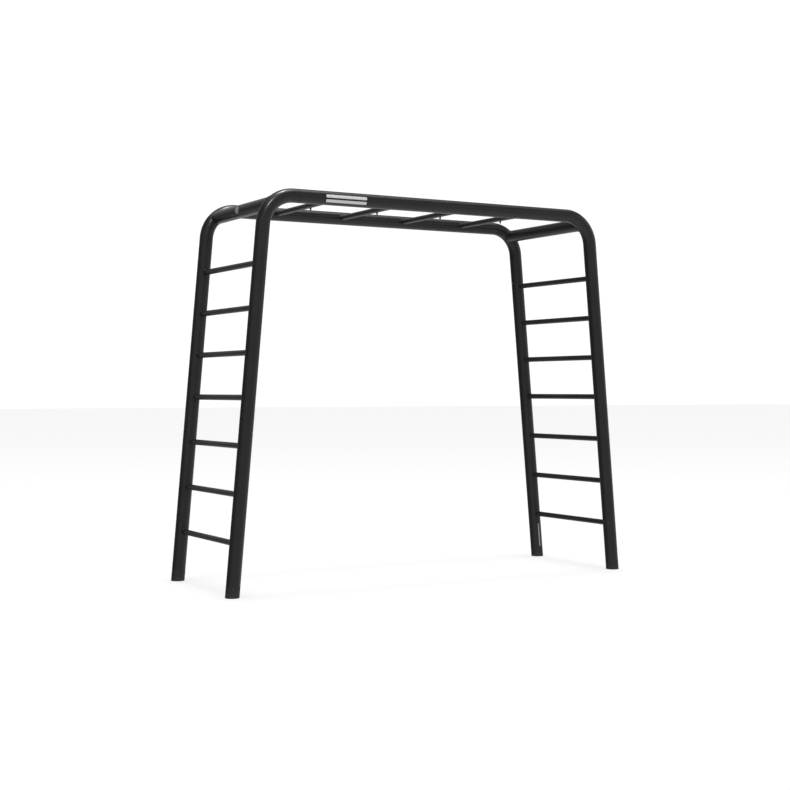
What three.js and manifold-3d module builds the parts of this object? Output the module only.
// Freestanding steel monkey bars: two leaning ladder ends joined by two top rails with rungs between.
// Units are millimetres, +Z is up, the ground is z = 0.
// X runs along the rails (left end at -X), Y runs across the frame (front side at -Y).
import * as THREE from 'three';
import { mergeVertices } from 'three/addons/utils/BufferGeometryUtils.js';
import Module from 'manifold-3d';

const wasm = await Module();
wasm.setup();

// ---- driving dimensions ----
const TUBE_R = 40;              // outer radius of legs, bends and rails
const WALL = 2.5;               // wall of the large tubes
const CROSS_R = 39;             // outer radius of the cross tubes
const RUNG_R = 16.5;            // outer radius of every rung
const RUNG_WALL = 2;
const GAP = 0.3;                // clearance left between separate pieces
const SLIDE = 0.4;              // radial clearance of a neck inside the next tube

const FOOT_HALF = 1307;         // leg axis to centre line, at the ground
const HALF_WIDTH = 413;         // leg and rail axis to centre line, across the frame
const RAIL_Z = 2225;            // height of the rail axis
const LEAN = THREE.MathUtils.degToRad(5.09);
const BEND_R = 185;             // centre line radius of a corner bend

// distances measured along the leg from the ground
const FOOT_H = 62;
const LOWER_SEAM = 906;
const UPPER_SEAM = 1876;
const SIDE_RUNGS = 7;
const FIRST_RUNG = 295;
const LOW_STEP = 268.5;         // pitch of the four lowest rungs
const HIGH_STEP = 250;          // pitch above the fourth rung
const LOW_STEPS = 3;
const FLANGED_RUNG = 4;         // this rung is held by saddle flanges

const RAIL_SEAM = 911;          // |x| of the joint between bend and rail
const NECK = 92;                // reduced neck that slides into the next tube
const SWAGE = 14;               // inside length over which the bore steps down to the neck
const SWAGE_LAP = 1.5;          // how far the root of a bend's neck reaches into its wall
const BOLT_OFFSET = 70;         // joint bolt to seam
const RAIL_BOLT_OFFSET = 68;
const MID_BOLT_X = 16;          // inner bolt near the middle of each rail

const TOP_RUNGS = 4;
const TOP_PITCH = 446;
const TOP_BOLT_Y = -84;         // upright bolt through each top rung
const SIDE_HOLE_R = 3.2;        // drilled hole half way along each top rung
const HOLE_DEPTH = 8;
const CROSS_TRIM = 5;           // raw cross tube stops this far short of the leg axis
const RUNG_TRIM = 20;           // the same for a raw rung
const CUTTER_HALF = 66;         // half length of the cutter that shapes a rung's end

const BOLT = { shank: 3.8, head: 7.5, rim: 1.6, crown: 4.2, dome: 5, length: 11 };
const BOLT_HOLE = 4.4;
const TOP_BOLT = { shank: 3.2, head: 7, headH: 4, nut: 5.8, nutH: 11, tip: 3.4, tipH: 14.5 };
const TOP_BOLT_HOLE = 3.7;
const FLANGE = { outer: 29, thick: 2.5 };
const CAP = { base: 18, plug: 40, wall: 3.5, below: 10 };

const TUBE_SIDES = 20;
const RUNG_SIDES = 12;
const SMALL_SIDES = 8;
const BEND_STEPS = 8;
const WELD_DISTANCE = 1e-4;     // points closer than this are one point

// ---- derived ----
const BORE_R = TUBE_R - WALL;
const NECK_R = BORE_R - SLIDE;
const TURN = Math.PI / 2 - LEAN;
const CORNER_X = FOOT_HALF - RAIL_Z * Math.tan(LEAN);
const TANGENT = BEND_R * Math.tan(TURN / 2);
const LEG_TO_CORNER = RAIL_Z / Math.cos(LEAN);

const ENDS = [['left', -1], ['right', 1]];
const ROWS = [['front', -1], ['back', 1]];

// ---- solids ----
function solidOf(geometry) {
  const bare = geometry.clone();
  bare.deleteAttribute('normal');
  bare.deleteAttribute('uv');
  const welded = mergeVertices(bare, WELD_DISTANCE);
  const index = welded.index.array;
  const kept = [];
  for (let i = 0; i < index.length; i += 3) {
    const [a, b, c] = [index[i], index[i + 1], index[i + 2]];
    if (a !== b && b !== c && c !== a) kept.push(a, b, c);
  }
  const mesh = new wasm.Mesh({
    numProp: 3,
    vertProperties: new Float32Array(welded.attributes.position.array),
    triVerts: new Uint32Array(kept),
  });
  return new wasm.Manifold(mesh);
}

// profile points are [radius, height]; the solid turns about +Z
function turned(profile, sides) {
  const points = profile.map(([r, h]) => new THREE.Vector2(r, h));
  const geometry = new THREE.LatheGeometry(points, sides);
  geometry.rotateX(Math.PI / 2);
  return solidOf(geometry);
}

function ring(outer, inner, from, to, sides) {
  const profile = [[outer, from], [outer, to], [inner, to], [inner, from], [outer, from]];
  return turned(profile, sides);
}

function rod(radius, from, to, sides) {
  return turned([[0, from], [radius, from], [radius, to], [0, to]], sides);
}

const place = (solid, matrix) => solid.transform(matrix.elements);

// turns +Z onto the Y direction given by sign
function acrossMatrix(sign, x, y, z) {
  const matrix = new THREE.Matrix4().makeRotationX(-sign * Math.PI / 2);
  return matrix.setPosition(x, y, z);
}

// turns +Z onto the X direction given by sign
function alongMatrix(sign, x, y, z) {
  const matrix = new THREE.Matrix4().makeRotationY(sign * Math.PI / 2);
  return matrix.setPosition(x, y, z);
}

// leg frame: origin on the ground, local +Z up the leg
function legMatrix(end, row) {
  const matrix = new THREE.Matrix4().makeRotationY(-end * LEAN);
  return matrix.setPosition(end * FOOT_HALF, row * HALF_WIDTH, 0);
}

const legPoint = (end, row, s) => new THREE.Vector3(0, 0, s).applyMatrix4(legMatrix(end, row));

// ---- large tubes ----
// straight tube with an open lower end and a reduced neck beyond the seam
function neckedTube(from, seam) {
  const neckBore = NECK_R - WALL;
  return turned([
    [TUBE_R, from], [TUBE_R, seam], [NECK_R, seam], [NECK_R, seam + NECK],
    [neckBore, seam + NECK], [neckBore, seam - WALL], [BORE_R, seam - SWAGE],
    [BORE_R, from], [TUBE_R, from],
  ], TUBE_SIDES);
}

// path of a corner: up the leg from the seam, round the bend, in along the rail to its seam
class CornerPath extends THREE.Curve {
  constructor(end, reach) {
    super();
    this.end = end;
    this.reach = reach;
    this.steps = BEND_STEPS + 2;
    this.up = new THREE.Vector3(-end * Math.sin(LEAN), 0, Math.cos(LEAN));
    this.inward = new THREE.Vector3(-end * Math.cos(LEAN), 0, -Math.sin(LEAN));
    const corner = new THREE.Vector3(end * CORNER_X, 0, RAIL_Z);
    this.start = corner.clone().addScaledVector(this.up, -TANGENT);
    this.centre = this.start.clone().addScaledVector(this.inward, BEND_R);
  }

  angleAt(u) {
    const k = Math.round(u * this.steps) - 1;
    return THREE.MathUtils.clamp(k / BEND_STEPS, 0, 1) * TURN;
  }

  getTangentAt(u) {
    const a = this.angleAt(u);
    return this.up.clone().multiplyScalar(Math.cos(a)).addScaledVector(this.inward, Math.sin(a));
  }

  getPointAt(u) {
    if (u <= 0) {
      const down = UPPER_SEAM + GAP - LEG_TO_CORNER + TANGENT;
      return this.start.clone().addScaledVector(this.up, down - this.reach);
    }
    if (u >= 1) return new THREE.Vector3(this.end * (RAIL_SEAM - this.reach), 0, RAIL_Z);
    const a = this.angleAt(u);
    const point = this.centre.clone().addScaledVector(this.inward, -BEND_R * Math.cos(a));
    return point.addScaledVector(this.up, BEND_R * Math.sin(a));
  }
}

function circlePoints(radius) {
  const points = [];
  for (let i = 0; i < TUBE_SIDES; i++) {
    const a = 2 * Math.PI * i / TUBE_SIDES;
    points.push(new THREE.Vector2(radius * Math.cos(a), radius * Math.sin(a)));
  }
  return points;
}

function sweptCorner(end, row, radius, bore, reach) {
  const shape = new THREE.Shape(circlePoints(radius));
  if (bore > 0) shape.holes.push(new THREE.Path(circlePoints(bore)));
  const path = new CornerPath(end, reach);
  const swept = new THREE.ExtrudeGeometry(shape, {
    steps: path.steps, extrudePath: path, bevelEnabled: false,
  });
  return solidOf(swept).translate([0, row * HALF_WIDTH, 0]);
}

function cornerBend(end, row) {
  const root = NECK_R + SWAGE_LAP;
  const neckBore = NECK_R - WALL;
  const seamNeck = turned([
    [root, -SWAGE], [root, 0], [NECK_R, 0], [NECK_R, NECK],
    [neckBore, NECK], [neckBore, -SWAGE], [root, -SWAGE],
  ], TUBE_SIDES);
  const neck = place(seamNeck, alongMatrix(-end, end * RAIL_SEAM, row * HALF_WIDTH, RAIL_Z));
  return sweptCorner(end, row, TUBE_R, BORE_R, 0).add(neck);
}

// ---- bolts ----
// round headed bolt; the underside of its head is at local z = 0
function roundBolt() {
  return turned([
    [0, -BOLT.length], [BOLT.shank, -BOLT.length], [BOLT.shank, 0], [BOLT.head, 0],
    [BOLT.head, BOLT.rim], [BOLT.crown, BOLT.dome], [0, BOLT.dome],
  ], SMALL_SIDES);
}

const boltHole = () => rod(BOLT_HOLE, -BOLT.length - WALL, BOLT.dome, SMALL_SIDES);

// seat on the inner face of a leg, s along the leg
function legBoltMatrix(end, row, s) {
  const at = legPoint(end, row, s);
  return acrossMatrix(-row, at.x, at.y - row * (TUBE_R + GAP), at.z);
}

// seat on the inner face of a rail
function railBoltMatrix(row, x) {
  return acrossMatrix(-row, x, row * (HALF_WIDTH - TUBE_R - GAP), RAIL_Z);
}

// ---- rungs ----
function rungStation(n) {
  const low = Math.min(n - 1, LOW_STEPS);
  return FIRST_RUNG + low * LOW_STEP + (n - 1 - low) * HIGH_STEP;
}

function plainRung(x, z) {
  const reach = HALF_WIDTH - RUNG_TRIM;
  const tube = ring(RUNG_R, RUNG_R - RUNG_WALL, -reach, reach, RUNG_SIDES);
  return place(tube, acrossMatrix(1, x, 0, z));
}

function legCutter(end, row, radius, s) {
  return place(rod(radius, s - CUTTER_HALF, s + CUTTER_HALF, TUBE_SIDES), legMatrix(end, row));
}

function sideRung(end, n) {
  const s = rungStation(n);
  const at = legPoint(end, 0, s);
  let rung = plainRung(at.x, at.z);
  for (const [, row] of ROWS) rung = rung.subtract(legCutter(end, row, TUBE_R + GAP, s));
  return rung;
}

// curved plate against the leg, round the end of a rung
function saddleFlange(end, row) {
  const s = rungStation(FLANGED_RUNG);
  const at = legPoint(end, 0, s);
  const shell = legCutter(end, row, TUBE_R + GAP + FLANGE.thick, s)
    .subtract(legCutter(end, row, TUBE_R + GAP, s));
  const inner = acrossMatrix(-row, at.x, row * HALF_WIDTH, at.z);
  const outline = place(rod(FLANGE.outer, 0, 2 * TUBE_R, TUBE_SIDES), inner);
  const passage = place(rod(RUNG_R + SLIDE, 0, 2 * TUBE_R, RUNG_SIDES), inner);
  return shell.intersect(outline).subtract(passage);
}

function topRung(x) {
  let rung = plainRung(x, RAIL_Z);
  for (const [, row] of ROWS) {
    const rail = rod(TUBE_R + GAP, -CUTTER_HALF, CUTTER_HALF, TUBE_SIDES);
    rung = rung.subtract(place(rail, alongMatrix(1, x, row * HALF_WIDTH, RAIL_Z)));
  }
  const boltBore = rod(TOP_BOLT_HOLE, -2 * RUNG_R, 2 * RUNG_R, SMALL_SIDES);
  rung = rung.subtract(boltBore.translate([x, TOP_BOLT_Y, RAIL_Z]));
  const sideHole = rod(SIDE_HOLE_R, RUNG_R - HOLE_DEPTH, RUNG_R + HOLE_DEPTH, SMALL_SIDES);
  return rung.subtract(place(sideHole, alongMatrix(-1, x, 0, RAIL_Z)));
}

// upright bolt with its cap nut below the rung
function topRungBolt(x) {
  const seat = RUNG_R + GAP;
  const bolt = turned([
    [0, -seat - TOP_BOLT.tipH], [TOP_BOLT.tip, -seat - TOP_BOLT.tipH],
    [TOP_BOLT.nut, -seat - TOP_BOLT.nutH], [TOP_BOLT.nut, -seat], [TOP_BOLT.shank, -seat],
    [TOP_BOLT.shank, seat], [TOP_BOLT.head, seat], [TOP_BOLT.head, seat + BOLT.rim],
    [TOP_BOLT.tip, seat + TOP_BOLT.headH], [0, seat + TOP_BOLT.headH],
  ], SMALL_SIDES);
  return bolt.translate([x, TOP_BOLT_Y, RAIL_Z]);
}

// ---- cross tubes and feet ----
function crossTube(end) {
  const path = new CornerPath(end, 0);
  const middle = path.getPointAt((BEND_STEPS / 2 + 1) / path.steps);
  const reach = HALF_WIDTH - CROSS_TRIM;
  const straight = ring(CROSS_R, CROSS_R - WALL, -reach, reach, TUBE_SIDES);
  const aligned = straight.rotate([0, 0, -end * THREE.MathUtils.radToDeg(TURN / 2 + LEAN)]);
  let tube = place(aligned, acrossMatrix(1, middle.x, 0, middle.z));
  for (const [, row] of ROWS) tube = tube.subtract(sweptCorner(end, row, TUBE_R + GAP, 0, 0));
  return tube;
}

// moulded foot: flat on the ground, its plug inside the leg
function footCap(end, row) {
  const plugTop = FOOT_H + CAP.plug;
  const cup = turned([
    [0, -CAP.below], [TUBE_R, -CAP.below], [TUBE_R, FOOT_H], [NECK_R, FOOT_H],
    [NECK_R, plugTop], [NECK_R - CAP.wall, plugTop], [NECK_R - CAP.wall, CAP.base], [0, CAP.base],
  ], TUBE_SIDES);
  return place(cup, legMatrix(end, row)).trimByPlane([0, 0, 1], 0);
}

// ---- assembly ----
const object = new THREE.Group();
object.name = 'monkey_bars';

const PAINT = { color: 0x1b1c1e, roughness: 0.45, metalness: 0.2 };
const FOOT = { color: 0x232425, roughness: 0.75, metalness: 0 };
const STEEL = { color: 0x3a3b3d, roughness: 0.4, metalness: 0.8 };

function addPiece(name, solid, look) {
  const { vertProperties, triVerts } = solid.getMesh();
  const geometry = new THREE.BufferGeometry();
  geometry.setAttribute('position', new THREE.BufferAttribute(vertProperties, 3));
  geometry.setIndex(new THREE.BufferAttribute(triVerts, 1));
  geometry.computeVertexNormals();
  const piece = new THREE.Mesh(geometry, new THREE.MeshStandardMaterial(look));
  piece.name = name;
  object.add(piece);
}

for (const [endName, end] of ENDS) {
  for (const [rowName, row] of ROWS) {
    const where = `${endName}_${rowName}`;
    const leg = legMatrix(end, row);
    const lowBolt = legBoltMatrix(end, row, LOWER_SEAM + BOLT_OFFSET);
    const highBolt = legBoltMatrix(end, row, UPPER_SEAM + BOLT_OFFSET);
    const railBolt = railBoltMatrix(row, end * (RAIL_SEAM - RAIL_BOLT_OFFSET));
    const lowHole = place(boltHole(), lowBolt);
    const highHole = place(boltHole(), highBolt);
    const railHole = place(boltHole(), railBolt);
    const lowerLeg = place(neckedTube(FOOT_H + GAP, LOWER_SEAM), leg);
    const upperLeg = place(neckedTube(LOWER_SEAM + GAP, UPPER_SEAM), leg);
    addPiece(`foot_cap_${where}`, footCap(end, row), FOOT);
    addPiece(`lower_leg_${where}`, lowerLeg.subtract(lowHole), PAINT);
    addPiece(`upper_leg_${where}`, upperLeg.subtract(lowHole).subtract(highHole), PAINT);
    addPiece(`corner_bend_${where}`, cornerBend(end, row).subtract(highHole).subtract(railHole), PAINT);
    addPiece(`lower_joint_bolt_${where}`, place(roundBolt(), lowBolt), STEEL);
    addPiece(`upper_joint_bolt_${where}`, place(roundBolt(), highBolt), STEEL);
    addPiece(`rail_joint_bolt_${where}`, place(roundBolt(), railBolt), STEEL);
    addPiece(`rung_flange_${where}`, saddleFlange(end, row), PAINT);
  }
  addPiece(`cross_tube_${endName}`, crossTube(end), PAINT);
  for (let n = 1; n <= SIDE_RUNGS; n++) {
    addPiece(`side_rung_${endName}_${n}`, sideRung(end, n), PAINT);
  }
}

for (const [rowName, row] of ROWS) {
  const midBolt = railBoltMatrix(row, row * MID_BOLT_X);
  const half = RAIL_SEAM - GAP;
  const bare = ring(TUBE_R, BORE_R, -half, half, TUBE_SIDES);
  let rail = place(bare, alongMatrix(1, 0, row * HALF_WIDTH, RAIL_Z));
  for (const [, end] of ENDS) {
    rail = rail.subtract(place(boltHole(), railBoltMatrix(row, end * (RAIL_SEAM - RAIL_BOLT_OFFSET))));
  }
  addPiece(`top_rail_${rowName}`, rail.subtract(place(boltHole(), midBolt)), PAINT);
  addPiece(`middle_rail_bolt_${rowName}`, place(roundBolt(), midBolt), STEEL);
}

for (let n = 1; n <= TOP_RUNGS; n++) {
  const x = (n - (TOP_RUNGS + 1) / 2) * TOP_PITCH;
  addPiece(`top_rung_${n}`, topRung(x), PAINT);
  addPiece(`top_rung_bolt_${n}`, topRungBolt(x), STEEL);
}

export default object;
